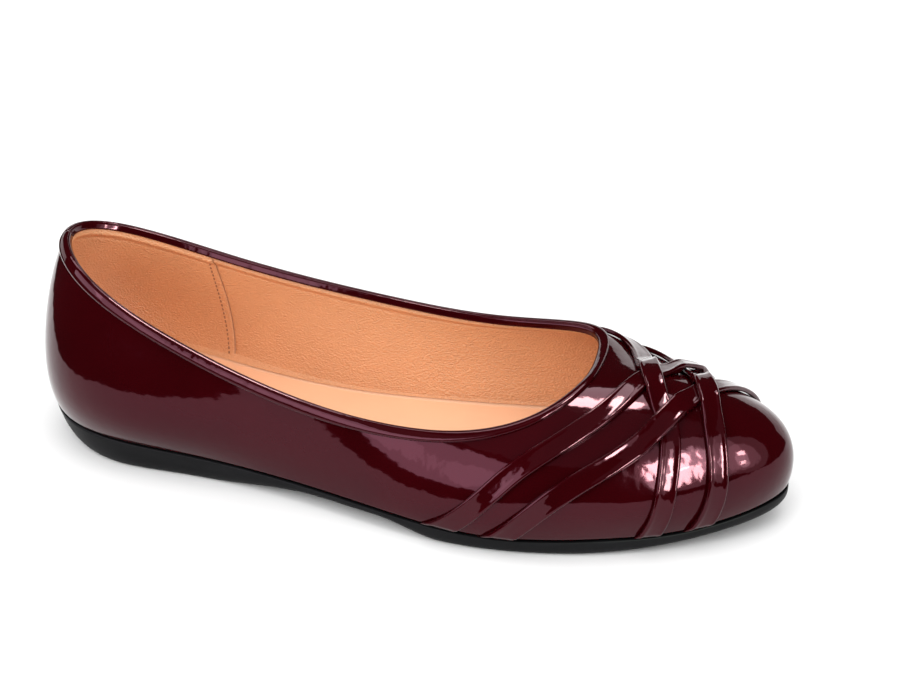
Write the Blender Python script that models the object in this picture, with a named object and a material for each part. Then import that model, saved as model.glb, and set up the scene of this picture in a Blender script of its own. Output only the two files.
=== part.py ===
"""Ballet flat for the right foot: patent upper with four woven vamp straps, bound topline, thin rubber sole.

The toe points along +X and the outer side of the foot is -Y. Lengths are metres.
Round the foot, s runs from 0 at the heel back over the outer side to the toe and back to 1 on the inner side.
Up the wall, t runs from 0 at the feather line, where upper and sole meet, to 1 at the collar edge.
"""
from collections import namedtuple

import bmesh
import bpy
import numpy as np
from mathutils import Vector

# Driving sizes
LENGTH = 0.2400
BALL_WIDTH = 0.0790
HEEL_WIDTH = 0.0530
BACK_HEIGHT = 0.0545
OUTER_HEIGHT = 0.0277
INNER_HEIGHT = 0.0378
THROAT_HEIGHT = 0.0390

# Sole
BALL_THICKNESS = 0.0051
HEEL_LIFT = 0.0056
TOE_LIFT = 0.0067
TOE_SPRING = 0.0068
ARCH_RISE = 0.0037
HEEL_BEVEL = 0.0012
SOLE_EDGE = 0.0003
SOLE_EDGE_ROUND = 0.0026
HEEL_UNDERCUT = 0.0032

# Upper and what is on it
UPPER_WALL = 0.0018
LASTING_MARGIN = 0.0090
INSOLE_THICKNESS = 0.0025
INSOLE_EDGE_ROUND = 0.0008
INSOLE_CLEARANCE = 0.0006
BINDING_TAPE = 0.0009
BINDING_OUTER_LEG = 0.0029
BINDING_INNER_LEG = 0.0025
BINDING_THROAT_SHARE = 0.72
BINDING_BUTT_GAP = 0.0004
STRAP_WIDTH = 0.0064
STRAP_THICKNESS = 0.0015
STRAP_RAMP = 0.0048
SEATING_GAP = 0.0003

# Sampling
RINGS_PER_SECTION = 6
SOLE_STATIONS = 34
STRAP_ROWS = 36
SEARCH_POINTS = 2001
SLOPE_STEP = 1e-4

# One row for each upright section of the last, in order round the foot. Width and height name the sizes that
# the row follows. Feather and collar x are shares of LENGTH, y of the width, collar height of the height.
# Rise and fall are the two curve handles as shares of the section's chord, and flare and lean their angles.
Section = namedtuple("Section", "name width height feather_x feather_y collar_x collar_y collar_h "
                                "rise flare fall lean")
SECTIONS = [
    Section("heel_back", HEEL_WIDTH, BACK_HEIGHT, 0.000, 0.00, 0.019, 0.05, 1.00, 0.33, 13, 0.34, 26),
    Section("heel_out", HEEL_WIDTH, BACK_HEIGHT, 0.055, -0.417, 0.072, -0.315, 0.95, 0.375, 31.5, 0.35, 15.5),
    Section("quarter_out", HEEL_WIDTH, BACK_HEIGHT, 0.224, -0.534, 0.221, -0.513, 0.72, 0.4, 35, 0.325, 16.5),
    Section("waist_out", BALL_WIDTH, OUTER_HEIGHT, 0.419, -0.425, 0.410, -0.388, 1.00, 0.345, 5, 0.355, 12.5),
    Section("joint_out", BALL_WIDTH, OUTER_HEIGHT, 0.611, -0.526, 0.586, -0.390, 0.99, 0.32, 16, 0.345, 47),
    Section("vamp_out", BALL_WIDTH, THROAT_HEIGHT, 0.793, -0.430, 0.695, -0.293, 0.88, 0.395, 18, 0.53, 56.5),
    Section("toe_out", BALL_WIDTH, THROAT_HEIGHT, 0.929, -0.226, 0.736, -0.128, 0.99, 0.25, 18.5, 0.61, 80),
    Section("toe_tip", BALL_WIDTH, THROAT_HEIGHT, 1.000, 0.019, 0.744, 0.020, 1.00, 0.405, 16, 0.50, 88.5),
    Section("toe_in", BALL_WIDTH, THROAT_HEIGHT, 0.942, 0.300, 0.740, 0.222, 1.00, 0.38, 20, 0.57, 68),
    Section("vamp_in", BALL_WIDTH, THROAT_HEIGHT, 0.798, 0.468, 0.700, 0.342, 1.00, 0.31, 19, 0.40, 48),
    Section("joint_in", BALL_WIDTH, INNER_HEIGHT, 0.618, 0.382, 0.584, 0.364, 0.95, 0.31, 24, 0.32, 30),
    Section("waist_in", BALL_WIDTH, INNER_HEIGHT, 0.420, 0.280, 0.418, 0.330, 1.01, 0.28, 24, 0.28, 14),
    Section("quarter_in", HEEL_WIDTH, BACK_HEIGHT, 0.231, 0.462, 0.225, 0.478, 0.79, 0.35, 29, 0.31, 17),
    Section("heel_in", HEEL_WIDTH, BACK_HEIGHT, 0.062, 0.427, 0.052, 0.372, 0.93, 0.355, 29, 0.33, 14.5),
]

# Height of the seat, the surface that upper and sole share, at shares of LENGTH. It is BALL_THICKNESS plus
# these shares of HEEL_LIFT and TOE_LIFT.
Seat = namedtuple("Seat", "name along heel_lift toe_lift")
SEAT_LINE = [
    Seat("behind_heel", -0.04, 1.02, 0.00),
    Seat("heel", 0.065, 0.96, 0.00),
    Seat("heel_breast", 0.232, 0.61, 0.00),
    Seat("shank_rear", 0.378, 0.36, 0.00),
    Seat("shank_front", 0.524, 0.22, 0.00),
    Seat("ball", 0.670, 0.00, 0.00),
    Seat("tread_front", 0.796, 0.00, 0.11),
    Seat("toes", 0.900, 0.00, 0.29),
    Seat("toe_tip", 1.000, 0.00, 1.00),
    Seat("before_toe", 1.040, 0.00, 1.36),
]

# Underside of the sole along LENGTH: it stands on the heel and tread, and lifts between and beyond them
HEEL_BEVEL_END = 0.130
HEEL_UNDERCUT_END = 0.150
HEEL_FLAT_END = 0.255
ARCH_REAR = 0.420
ARCH_FRONT = 0.500
TREAD_START = 0.590
TREAD_END = 0.750
TOE_SPRING_POWER = 1.7

# The binding narrows between these shares of LENGTH, towards the throat
BINDING_NARROWS_FROM = 0.60
BINDING_NARROWS_TO = 0.72

# Route of a strap's middle line: section number round the foot and height up the wall. The outer straps take
# the routes as they stand, and the inner straps take them mirrored from side to side.
Stop = namedtuple("Stop", "name section up")
REAR_ROUTE = [
    Stop("foot", 3.87, 0.00),
    Stop("wall", 4.22, 0.39),
    Stop("shoulder", 4.59, 0.665),
    Stop("vamp_edge", 5.02, 0.815),
    Stop("beside_throat", 5.73, 0.875),
    Stop("before_crest", 6.45, 0.865),
    Stop("crest", 6.95, 0.837),
    Stop("past_crest", 7.44, 0.782),
    Stop("far_vamp", 7.92, 0.657),
    Stop("far_wall", 8.30, 0.44),
    Stop("far_foot", 8.63, 0.00),
]
FRONT_ROUTE = [
    Stop("foot", 4.27, 0.00),
    Stop("wall", 4.70, 0.38),
    Stop("shoulder", 5.12, 0.585),
    Stop("vamp_edge", 5.70, 0.693),
    Stop("before_crest", 6.24, 0.706),
    Stop("crest", 6.72, 0.683),
    Stop("past_crest", 7.10, 0.640),
    Stop("far_vamp", 7.45, 0.565),
    Stop("far_shoulder", 7.75, 0.445),
    Stop("far_wall", 7.98, 0.285),
    Stop("far_foot", 8.20, 0.00),
]

# A plain weave: each strap passes over one crossing strap and under the other
Strap = namedtuple("Strap", "name route mirrored over")
STRAPS = [
    Strap("strap_outer_rear", REAR_ROUTE, False, "strap_inner_front"),
    Strap("strap_outer_front", FRONT_ROUTE, False, "strap_inner_rear"),
    Strap("strap_inner_rear", REAR_ROUTE, True, "strap_outer_rear"),
    Strap("strap_inner_front", FRONT_ROUTE, True, "strap_outer_front"),
]

# Points up the wall: the outer face from the feather line to the collar, the inner face back down
OUTER_LEVELS = [0.0, 0.05, 0.11, 0.19, 0.29, 0.40, 0.51, 0.62, 0.73, 0.83, 0.92, 1.0]
INNER_LEVELS = [1.0, 0.88, 0.74, 0.60, 0.46, 0.32, 0.20, 0.10]

# Sole side wall from its top edge: share of the height and inset as a share of SOLE_EDGE_ROUND
SOLE_SIDE = [(1.00, 0.00), (0.60, 0.03), (0.28, 0.16), (0.10, 0.45), (0.00, 1.00)]

# Cross-section of a strap: side as a share of half its width, height as a share of its thickness
STRAP_TOP = [(-1.0, 0.40), (-0.82, 0.92), (0.0, 1.0), (0.82, 0.92), (1.0, 0.40)]
STRAP_BOTTOM = [(0.82, 0.0), (0.0, 0.0), (-0.82, 0.0)]

# Cross-section of the binding's rounded fold: shares of its tape's thickness
BINDING_LEG_END = 0.80
BINDING_FOLD_UP = 0.75
BINDING_FOLD_OUT = 0.35

# Colours
PATENT_BURGUNDY = (0.105, 0.006, 0.012)
SOLE_BLACK = (0.016, 0.016, 0.018)
SOCK_CREAM = (0.80, 0.52, 0.30)


def material(name, colour, roughness, coat=0.0):
    finish = bpy.data.materials.new(name)
    finish.use_nodes = True
    shader = finish.node_tree.nodes["Principled BSDF"]
    shader.inputs["Base Color"].default_value = (*colour, 1.0)
    shader.inputs["Roughness"].default_value = roughness
    shader.inputs["Metallic"].default_value = 0.0
    shader.inputs["Coat Weight"].default_value = coat
    return finish


def natural_spline(knots, values, at):
    """Smooth curve through the values, one column for each thing that varies."""
    count = len(knots)
    gaps = np.diff(knots)
    system = np.eye(count)
    right = np.zeros_like(values)
    for i in range(1, count - 1):
        system[i, i - 1:i + 2] = gaps[i - 1], 2 * (gaps[i - 1] + gaps[i]), gaps[i]
        right[i] = 6 * ((values[i + 1] - values[i]) / gaps[i] - (values[i] - values[i - 1]) / gaps[i - 1])
    bends = np.linalg.solve(system, right)
    cell = np.clip(np.searchsorted(knots, at) - 1, 0, count - 2)
    gap = gaps[cell][..., None]
    before = (knots[cell + 1] - at)[..., None] / gap
    after = 1 - before
    bend = (before ** 3 - before) * bends[cell] + (after ** 3 - after) * bends[cell + 1]
    return before * values[cell] + after * values[cell + 1] + bend * gap ** 2 / 6


def closed_spline(knots, values, at):
    """Smooth closed curve through the values, and its slope."""
    count = len(values)
    gaps = np.diff(knots)
    system = np.zeros((count, count))
    right = np.zeros_like(values)
    for i in range(count):
        after = (i + 1) % count
        system[i, i - 1] += gaps[i - 1]
        system[i, i] += 2 * (gaps[i - 1] + gaps[i])
        system[i, after] += gaps[i]
        right[i] = 6 * ((values[after] - values[i]) / gaps[i] - (values[i] - values[i - 1]) / gaps[i - 1])
    bends = np.linalg.solve(system, right)
    place = np.mod(at, knots[-1])
    cell = np.clip(np.searchsorted(knots, place, side="right") - 1, 0, count - 1)
    following = (cell + 1) % count
    gap = gaps[cell][..., None]
    a = (knots[cell + 1] - place)[..., None] / gap
    b = 1 - a
    bend = (a ** 3 - a) * bends[cell] + (b ** 3 - b) * bends[following]
    curve = a * values[cell] + b * values[following] + bend * gap ** 2 / 6
    bend_slope = (3 * b ** 2 - 1) * bends[following] - (3 * a ** 2 - 1) * bends[cell]
    slope = (values[following] - values[cell]) / gap + bend_slope * gap / 6
    return curve, slope


def unit(vectors):
    return vectors / np.linalg.norm(vectors, axis=-1, keepdims=True)


def smooth_step(low, high, x):
    """0 below low, 1 above high, with a soft rise between them."""
    share = np.clip((x - low) / (high - low), 0.0, 1.0)
    return share * share * (3 - 2 * share)


def seat_height(x):
    """Height of the feather line and the sole's top surface at a place along the shoe."""
    along = np.array([row.along * LENGTH for row in SEAT_LINE])
    height = [BALL_THICKNESS + row.heel_lift * HEEL_LIFT + row.toe_lift * TOE_LIFT for row in SEAT_LINE]
    return natural_spline(along, np.array(height)[:, None], x)[..., 0]


def underside_height(x):
    """Height of the sole's underside: zero over the heel and the tread."""
    share = x / LENGTH
    bevel = HEEL_BEVEL * np.clip(1 - share / HEEL_BEVEL_END, 0.0, None) ** 2
    arch = smooth_step(HEEL_FLAT_END, ARCH_REAR, share) * (1 - smooth_step(ARCH_FRONT, TREAD_START, share))
    beyond = np.clip((share - TREAD_END) / (1 - TREAD_END), 0.0, None)
    return bevel + ARCH_RISE * arch + TOE_SPRING * beyond ** TOE_SPRING_POWER


def section_table():
    """Knots round the foot and one row of real lengths and angles for each section."""
    rows = []
    for row in SECTIONS:
        feather_x = row.feather_x * LENGTH
        collar_x = row.collar_x * LENGTH
        feather = np.array([feather_x, row.feather_y * row.width, seat_height(feather_x)])
        collar_z = seat_height(collar_x) + row.collar_h * row.height
        collar = np.array([collar_x, row.collar_y * row.width, collar_z])
        chord = np.linalg.norm(collar - feather)
        rows.append([*feather[:2], *collar, row.rise * chord, row.flare, row.fall * chord, row.lean])
    rows = np.array(rows)
    steps = np.linalg.norm(np.roll(rows[:, :2], -1, axis=0) - rows[:, :2], axis=1)
    knots = np.concatenate([[0.0], np.cumsum(steps)])
    return knots / knots[-1], rows


KNOTS, SECTION_ROWS = section_table()


def around(section_number):
    """Place round the foot for a section number, which may lie between two sections."""
    return np.interp(section_number, np.arange(len(KNOTS)), KNOTS)


def side_normal(slope):
    """Level direction that points out of a loop which runs anticlockwise seen from above."""
    return unit(np.stack([slope[..., 1], -slope[..., 0], np.zeros_like(slope[..., 0])], axis=-1))


def wall_curve(s):
    """The four control points of the wall's curve at s, and the outward direction at its foot."""
    values, slopes = closed_spline(KNOTS, SECTION_ROWS, s)
    feather = np.stack([values[..., 0], values[..., 1], seat_height(values[..., 0])], axis=-1)
    collar = values[..., 2:5]
    foot_out = side_normal(slopes[..., 0:2])
    top_out = side_normal(slopes[..., 2:4])
    up = np.array([0.0, 0.0, 1.0])
    flare = np.radians(values[..., 6:7])
    lean = np.radians(values[..., 8:9])
    low = feather + values[..., 5:6] * (foot_out * np.sin(flare) + up * np.cos(flare))
    high = collar + values[..., 7:8] * (top_out * np.sin(lean) - up * np.cos(lean))
    return feather, low, high, collar, foot_out, flare


def skin(s, t):
    """Points of the upper's outer face."""
    s, t = np.broadcast_arrays(np.asarray(s, float), np.asarray(t, float))
    feather, low, high, collar, _, _ = wall_curve(s)
    t = t[..., None]
    rest = 1 - t
    return rest ** 3 * feather + 3 * rest ** 2 * t * low + 3 * rest * t ** 2 * high + t ** 3 * collar


def skin_slopes(s, t):
    """Change of the outer face round the foot and up the wall."""
    s, t = np.broadcast_arrays(np.asarray(s, float), np.asarray(t, float))
    round_slope = (skin(s + SLOPE_STEP, t) - skin(s - SLOPE_STEP, t)) / (2 * SLOPE_STEP)
    up_slope = (skin(s, t + SLOPE_STEP) - skin(s, t - SLOPE_STEP)) / (2 * SLOPE_STEP)
    return round_slope, up_slope


def skin_normal(s, t):
    round_slope, up_slope = skin_slopes(s, t)
    return unit(np.cross(round_slope, up_slope))


def foot_corner(s):
    """Where the wall's inner face meets the top of the lasting margin."""
    feather, _, _, _, foot_out, flare = wall_curve(s)
    inset = UPPER_WALL * (1 - np.sin(flare)) / np.cos(flare)
    return margin_point(feather, foot_out, inset, UPPER_WALL)


def margin_point(feather, foot_out, inset, above_seat):
    """Point in from the feather line and above the seat."""
    point = feather - foot_out * inset
    point[..., 2] = seat_height(point[..., 0]) + above_seat
    return point


def solid(name, finish, rings, joined_ends):
    """Closed solid from rings of points. Its two ends join each other, or each is filled with one face."""
    mesh = bmesh.new()
    grid = [[mesh.verts.new(point) for point in ring] for ring in rings]
    last = len(grid) if joined_ends else len(grid) - 1
    for i in range(last):
        here = grid[i]
        there = grid[(i + 1) % len(grid)]
        for j in range(len(here)):
            k = (j + 1) % len(here)
            mesh.faces.new((here[j], here[k], there[k], there[j]))
    if not joined_ends:
        mesh.faces.new(grid[0])
        mesh.faces.new(grid[-1])
    return finished(name, finish, mesh)


def finished(name, finish, mesh):
    """Turns a bmesh into a named, smooth shaded object."""
    bmesh.ops.recalc_face_normals(mesh, faces=mesh.faces)
    data = bpy.data.meshes.new(name)
    mesh.to_mesh(data)
    mesh.free()
    data.shade_smooth()
    data.set_sharp_from_angle(angle=np.radians(40))
    data.materials.append(finish)
    piece = bpy.data.objects.new(name, data)
    bpy.context.scene.collection.objects.link(piece)
    return piece


def ring_places():
    """Places round the foot where the upper and the binding have their sections."""
    count = len(SECTIONS) * RINGS_PER_SECTION
    return around(np.arange(count) / RINGS_PER_SECTION)


def upper(finish):
    """One hollow shell: outer face, collar edge, inner face and the lasting margin turned in under it."""
    places = ring_places()
    outer = [skin(places, t) for t in OUTER_LEVELS]
    inner = [skin(places, t) - UPPER_WALL * skin_normal(places, t) for t in INNER_LEVELS]
    feather, _, _, _, foot_out, _ = wall_curve(places)
    margin_top = margin_point(feather, foot_out, LASTING_MARGIN, UPPER_WALL)
    margin_bottom = margin_point(feather, foot_out, LASTING_MARGIN, 0.0)
    profile = [*outer, *inner, foot_corner(places), margin_top, margin_bottom]
    return solid("upper", finish, np.stack(profile, axis=1), joined_ends=True)


def topline_binding(finish):
    """Folded strip clamped over the collar edge, with its two ends butted at the heel back."""
    round_slope, _ = skin_slopes(0.0, 1.0)
    half_gap = 0.5 * BINDING_BUTT_GAP / np.linalg.norm(round_slope)
    places = np.concatenate([[half_gap], ring_places()[1:], [1 - half_gap]])
    edge = skin(places, 1.0)
    _, up_slope = skin_slopes(places, 1.0)
    out = skin_normal(places, 1.0)
    up = unit(up_slope)
    front = smooth_step(BINDING_NARROWS_FROM, BINDING_NARROWS_TO, edge[:, 0] / LENGTH)
    narrowing = (1 - (1 - BINDING_THROAT_SHARE) * front)[:, None]
    outer_leg = -BINDING_OUTER_LEG * narrowing
    inner_leg = -BINDING_INNER_LEG * narrowing
    outer_face = SEATING_GAP
    inner_face = -UPPER_WALL - SEATING_GAP
    leg_end = BINDING_LEG_END * BINDING_TAPE
    shoulder = SEATING_GAP + BINDING_FOLD_UP * BINDING_TAPE
    fold_out = BINDING_FOLD_OUT * BINDING_TAPE
    profile = [
        (outer_leg, outer_face),
        (SEATING_GAP, outer_face),
        (SEATING_GAP, inner_face),
        (inner_leg, inner_face),
        (inner_leg, inner_face - leg_end),
        (0.0, inner_face - BINDING_TAPE),
        (shoulder, inner_face - fold_out),
        (SEATING_GAP + BINDING_TAPE, -0.5 * UPPER_WALL),
        (shoulder, outer_face + fold_out),
        (0.0, outer_face + BINDING_TAPE),
        (outer_leg, outer_face + leg_end),
    ]
    rings = np.stack([edge + up * along + out * across for along, across in profile], axis=1)
    return solid("topline_binding", finish, rings, joined_ends=False)


def paired_places():
    """Places up the outer side and up the inner side that lie at the same distances along the shoe."""
    dense = np.linspace(0.0, 1.0, 2 * SEARCH_POINTS)
    along = wall_curve(dense)[0][:, 0]
    tip = dense[np.argmax(along)]
    back = dense[np.argmin(along)]
    if back > tip:
        back -= 1.0
    turn = np.linspace(0.0, np.pi, SOLE_STATIONS)
    stations = along.min() + np.ptp(along) * 0.5 * (1 - np.cos(turn))
    outer = np.linspace(back, tip, SEARCH_POINTS)
    inner = np.linspace(back + 1.0, tip, SEARCH_POINTS)
    outer_places = np.interp(stations, wall_curve(outer)[0][:, 0], outer)
    inner_places = np.interp(stations, wall_curve(inner)[0][:, 0], inner)
    return outer_places, inner_places[1:-1][::-1]


def ladder_solid(name, finish, loops, outer_count):
    """Solid from stacked closed loops. The end loops are filled by rungs from the outer side to the inner."""
    mesh = bmesh.new()
    grid = [[mesh.verts.new(point) for point in loop] for loop in loops]
    count = len(grid[0])
    for upper_loop, lower_loop in zip(grid, grid[1:]):
        for j in range(count):
            k = (j + 1) % count
            mesh.faces.new((upper_loop[j], upper_loop[k], lower_loop[k], lower_loop[j]))
    for loop in (grid[0], grid[-1]):
        for j in range(outer_count - 1):
            rung = [loop[j], loop[j + 1], loop[-j - 1], loop[-j]]
            if j == 0:
                rung = [loop[0], loop[1], loop[-1]]
            elif j == outer_count - 2:
                rung = [loop[j], loop[j + 1], loop[-j]]
            mesh.faces.new(rung)
    return finished(name, finish, mesh)


def outsole(finish):
    """Moulded unit: its top follows the seat, and its side slopes in, most at the heel, and rounds under."""
    outer_places, inner_places = paired_places()
    places = np.concatenate([outer_places, inner_places])
    feather, _, _, _, foot_out, _ = wall_curve(places)
    undercut = HEEL_UNDERCUT * (1 - smooth_step(0.0, HEEL_UNDERCUT_END, feather[:, :1] / LENGTH))
    loops = []
    for height_share, inset_share in SOLE_SIDE:
        inset = inset_share * SOLE_EDGE_ROUND + (1 - height_share) * undercut
        point = feather + foot_out * (SOLE_EDGE - inset)
        top = seat_height(point[:, 0]) - SEATING_GAP
        bottom = underside_height(point[:, 0])
        point[:, 2] = bottom + height_share * (top - bottom)
        loops.append(point)
    return ladder_solid("outsole", finish, loops, len(outer_places))


def inside_outline(places, above_seat):
    """Outline of the upper's inner face at a height above the seat, as level points."""
    levels = np.linspace(0.0, 0.5, 61)
    outline = np.zeros((len(places), 3))
    for i, s in enumerate(places):
        points = skin(s, levels) - UPPER_WALL * skin_normal(s, levels)
        height = points[:, 2] - seat_height(points[:, 0])
        outline[i, 0] = np.interp(above_seat, height, points[:, 0])
        outline[i, 1] = np.interp(above_seat, height, points[:, 1])
    return outline


def insole(finish):
    """Sock and board that lie on the lasting margin inside the upper."""
    outer_places, inner_places = paired_places()
    places = np.concatenate([outer_places, inner_places])
    foot_out = wall_curve(places)[4]
    bottom = UPPER_WALL + SEATING_GAP
    top = bottom + INSOLE_THICKNESS
    layers = [(top, INSOLE_EDGE_ROUND), (top - INSOLE_EDGE_ROUND, 0.0), (bottom, 0.0)]
    loops = []
    for height, extra_inset in layers:
        point = inside_outline(places, height) - foot_out * (INSOLE_CLEARANCE + extra_inset)
        point[:, 2] = seat_height(point[:, 0]) + height
        loops.append(point)
    return ladder_solid("insole", finish, loops, len(outer_places))


def strap_middle(strap):
    """The strap's middle line as places round the foot and up the wall, evenly spaced, past both feet."""
    sections = np.array([stop.section for stop in strap.route])
    up = np.array([stop.up for stop in strap.route])
    if strap.mirrored:
        sections = len(SECTIONS) - sections
    stops = np.column_stack([around(sections), up])
    points = skin(stops[:, 0], stops[:, 1])
    knots = np.concatenate([[0.0], np.cumsum(np.linalg.norm(np.diff(points, axis=0), axis=1))])
    fine = np.linspace(-STRAP_WIDTH, knots[-1] + STRAP_WIDTH, 8 * STRAP_ROWS)
    return carried_on(knots, stops, fine)


def carried_on(knots, values, at):
    """The smooth curve through the values, carried on straight past both its ends."""
    curve = natural_spline(knots, values, np.clip(at, knots[0], knots[-1]))
    step = SLOPE_STEP * knots[-1]
    start = (natural_spline(knots, values, knots[:1] + step) - values[:1]) / step
    end = (values[-1:] - natural_spline(knots, values, knots[-1:] - step)) / step
    before = np.minimum(at - knots[0], 0.0)[:, None]
    after = np.maximum(at - knots[-1], 0.0)[:, None]
    return curve + before * start + after * end


def strap_fibre(middle, side):
    """A line at a fixed distance beside the middle line, cut off at the feather line at both ends."""
    s, t = middle[:, 0], middle[:, 1]
    points = skin(s, t)
    along = unit(np.gradient(points, axis=0))
    across = unit(np.cross(skin_normal(s, t), along))
    round_slope, up_slope = skin_slopes(s, t)
    move = []
    for i in range(len(s)):
        slopes = np.column_stack([round_slope[i], up_slope[i]])
        move.append(np.linalg.lstsq(slopes, across[i] * side, rcond=None)[0])
    fibre = middle + np.array(move)
    above = np.flatnonzero(fibre[:, 1] > 0.0)
    first, final = above[0], above[-1]
    ends = []
    for inside, outside in ((first, first - 1), (final, final + 1)):
        share = fibre[inside, 1] / (fibre[inside, 1] - fibre[outside, 1])
        ends.append(fibre[inside] + share * (fibre[outside] - fibre[inside]))
    fibre = np.vstack([ends[0], fibre[first:final + 1], ends[1]])
    points = skin(fibre[:, 0], fibre[:, 1])
    length = np.concatenate([[0.0], np.cumsum(np.linalg.norm(np.diff(points, axis=0), axis=1))])
    even = np.linspace(0.0, length[-1], STRAP_ROWS)
    return np.column_stack([np.interp(even, length, fibre[:, 0]), np.interp(even, length, fibre[:, 1])])


def strap_lift(points, crossed):
    """How far an over-passing strap stands off the skin near the middle line of the strap it crosses."""
    reach = np.linalg.norm(points[:, None, :] - crossed[None, :, :], axis=2).min(axis=1)
    full = 0.5 * STRAP_WIDTH + 2 * SEATING_GAP
    return (STRAP_THICKNESS + SEATING_GAP) * (1 - smooth_step(full, full + STRAP_RAMP, reach))


def woven_strap(strap, finish):
    """Folded strip from feather line to feather line, lifted where it passes over its neighbour."""
    middle = strap_middle(strap)
    below = next(other for other in STRAPS if other.name == strap.over)
    below_middle = strap_middle(below)
    crossed = skin(below_middle[:, 0], below_middle[:, 1])
    profile = []
    for side, height in STRAP_TOP + STRAP_BOTTOM:
        fibre = strap_fibre(middle, 0.5 * STRAP_WIDTH * side)
        base = skin(fibre[:, 0], fibre[:, 1])
        stand_off = SEATING_GAP + STRAP_THICKNESS * height + strap_lift(base, crossed)
        profile.append(base + skin_normal(fibre[:, 0], fibre[:, 1]) * stand_off[:, None])
    return solid(strap.name, finish, np.stack(profile, axis=1), joined_ends=False)


def stand_on_origin(pieces):
    """Hangs the pieces from one root, which centres the whole shoe over the origin on the floor."""
    corners = np.array([vertex.co for piece in pieces for vertex in piece.data.vertices])
    low, high = corners.min(axis=0), corners.max(axis=0)
    root = bpy.data.objects.new("shoe_root", None)
    bpy.context.scene.collection.objects.link(root)
    for piece in pieces:
        piece.parent = root
    root.location = Vector((-(low[0] + high[0]) / 2, -(low[1] + high[1]) / 2, -low[2]))


def build():
    for leftover in list(bpy.data.objects):
        bpy.data.objects.remove(leftover)
    patent = material("burgundy_patent", PATENT_BURGUNDY, 0.10, coat=1.0)
    rubber = material("black_rubber", SOLE_BLACK, 0.55)
    sock = material("cream_sock", SOCK_CREAM, 0.60)
    pieces = [outsole(rubber), insole(sock), upper(patent), topline_binding(patent)]
    pieces += [woven_strap(strap, patent) for strap in STRAPS]
    stand_on_origin(pieces)


build()
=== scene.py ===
import math
from collections import namedtuple

import bpy
import numpy as np
from mathutils import Matrix, Vector


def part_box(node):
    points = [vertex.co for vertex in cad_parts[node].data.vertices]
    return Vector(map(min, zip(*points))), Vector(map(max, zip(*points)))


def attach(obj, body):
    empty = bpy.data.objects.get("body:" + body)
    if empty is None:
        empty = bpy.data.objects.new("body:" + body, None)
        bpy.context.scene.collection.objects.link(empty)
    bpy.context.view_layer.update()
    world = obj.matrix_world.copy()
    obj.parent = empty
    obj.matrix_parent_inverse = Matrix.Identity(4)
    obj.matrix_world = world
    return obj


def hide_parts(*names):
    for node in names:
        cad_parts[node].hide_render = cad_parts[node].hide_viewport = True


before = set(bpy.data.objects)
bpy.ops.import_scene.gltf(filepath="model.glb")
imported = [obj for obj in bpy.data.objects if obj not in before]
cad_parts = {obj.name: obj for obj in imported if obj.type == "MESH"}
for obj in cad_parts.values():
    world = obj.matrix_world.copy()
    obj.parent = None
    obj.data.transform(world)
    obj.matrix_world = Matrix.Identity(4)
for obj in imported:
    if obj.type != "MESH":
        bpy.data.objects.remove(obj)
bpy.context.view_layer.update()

# Driving sizes
LENGTH = 0.2400
BALL_WIDTH = 0.0790
HEEL_WIDTH = 0.0530
BACK_HEIGHT = 0.0545
OUTER_HEIGHT = 0.0277
INNER_HEIGHT = 0.0378
THROAT_HEIGHT = 0.0390

# Sole
BALL_THICKNESS = 0.0051
HEEL_LIFT = 0.0056
TOE_LIFT = 0.0067
TOE_SPRING = 0.0068
ARCH_RISE = 0.0037
HEEL_BEVEL = 0.0012
SOLE_EDGE = 0.0003
SOLE_EDGE_ROUND = 0.0026
HEEL_UNDERCUT = 0.0032
SOLE_TOP_ROUND = 0.0005
TREAD_DEPTH = 0.0006
TREAD_PITCH = 0.0042
TREAD_WAVE = 0.0014
TREAD_WAVE_LENGTH = 0.019
TREAD_RIM = 0.0042

# Upper and what is on it
UPPER_WALL = 0.0018
PATENT_WALL = 0.0010
LINING_GAP = 0.0001
LASTING_MARGIN = 0.0090
FEATHER_ROLL = 0.0011
INSOLE_THICKNESS = 0.0025
INSOLE_CLEARANCE = 0.0002
INSOLE_EDGE_ROUND = 0.0008
INSOLE_DISH = 0.0004
BINDING_TAPE = 0.0009
BINDING_OUTER_LEG = 0.0029
BINDING_INNER_LEG = 0.0010
BINDING_THROAT_SHARE = 0.72
BINDING_BUTT_GAP = 0.0004
STRAP_WIDTH = 0.0064
STRAP_THICKNESS = 0.0015
STRAP_RAMP = 0.0060
STRAP_UNDER_RAMP = 0.0010
STRAP_TUCK = 0.0026
STRAP_TUCKED = 0.35
SEATING_GAP = 0.0003

# Shares: powers that crowd levels towards an edge, levels up the wall, and insets in walls or rolls
UPPER_CROWDING = 1.25
LINING_CROWDING = 1.5
SHELL_BACK_FOOT = 0.12
SHELL_CORNER_IN = 1.3
TURNED_UNDER_IN = 1.6
LINING_FOOT_IN = 3.4
OUTLINE_TOP = 0.5

# Lining details
LINING_TOP = 0.0008
LINING_RIDGE_PLACE = 0.0026
LINING_RIDGE_WIDTH = 0.0011
LINING_RIDGE = 0.00075
LINING_LINE_PLACE = 0.0047
LINING_LINE_WIDTH = 0.00035
LINING_LINE = 0.00022
COUNTER_STEP = 0.00055
COUNTER_STEP_WIDTH = 0.0003
SEAM_GROOVE = 0.00022
SEAM_GROOVE_PLACE = 0.00025
SEAM_GROOVE_WIDTH = 0.0002
POCKET_EDGE_RADIUS = 0.00016
POCKET_EDGE_SPAN = (0.06, 0.955)
STITCH_SPAN = (0.08, 0.93)
LINING_FOOT = 0.07
STITCH_PITCH = 0.00155
STITCH_LENGTH = 0.00050
STITCH_RADIUS = 0.00024
STITCH_PROUD = 0.3
STITCH_FROM_EDGE = 0.0014
STITCH_BOW = 0.0011

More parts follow.
